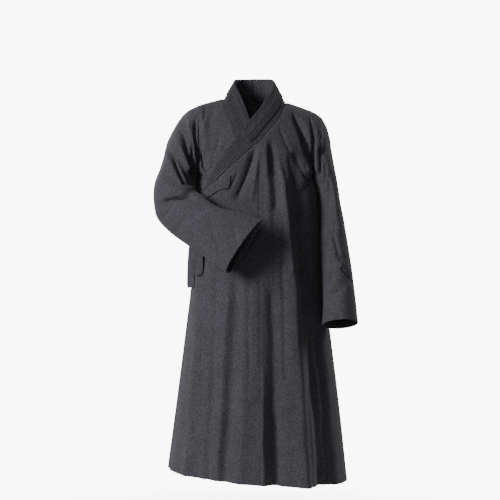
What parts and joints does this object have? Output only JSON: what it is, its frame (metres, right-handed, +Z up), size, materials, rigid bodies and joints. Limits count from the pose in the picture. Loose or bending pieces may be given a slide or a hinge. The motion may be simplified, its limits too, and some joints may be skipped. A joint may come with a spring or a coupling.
{
  "type": "buddhist monk robe",
  "caption": "Ankle-length crossed-collar robe of charcoal wool, hollow and worn in shape, right arm bent across the waist, left sleeve hanging, tied at the right side.",
  "frame": {"origin": "the mount worn_on_shoulders, between the two points where the shoulder seams meet the collar", "axes": "+X to the wearer's left, -Y to the front, +Z up the body"},
  "size_m": [0.659, 0.4962, 1.3254],
  "materials": {
    "wool": "milled woollen flannel, charcoal melange, matt with a short nap",
    "collar_wool": "the same flannel in several quilted layers, slightly darker"
  },
  "bodies": {
    "root": {"left_front": "wool", "overlap": "wool", "right_front": "wool", "left_back": "wool", "right_back": "wool", "left_sleeve": "wool", "right_sleeve": "wool", "left_cuff_facing": "wool", "right_cuff_facing": "wool", "collar_outer": "collar_wool", "collar_inner": "collar_wool", "collar_guard": "collar_wool", "tie_base": "wool", "side_tie": "wool", "tie_knot": "wool", "tie_end_front": "wool", "tie_end_back": "wool"}
  },
  "joints": []
}
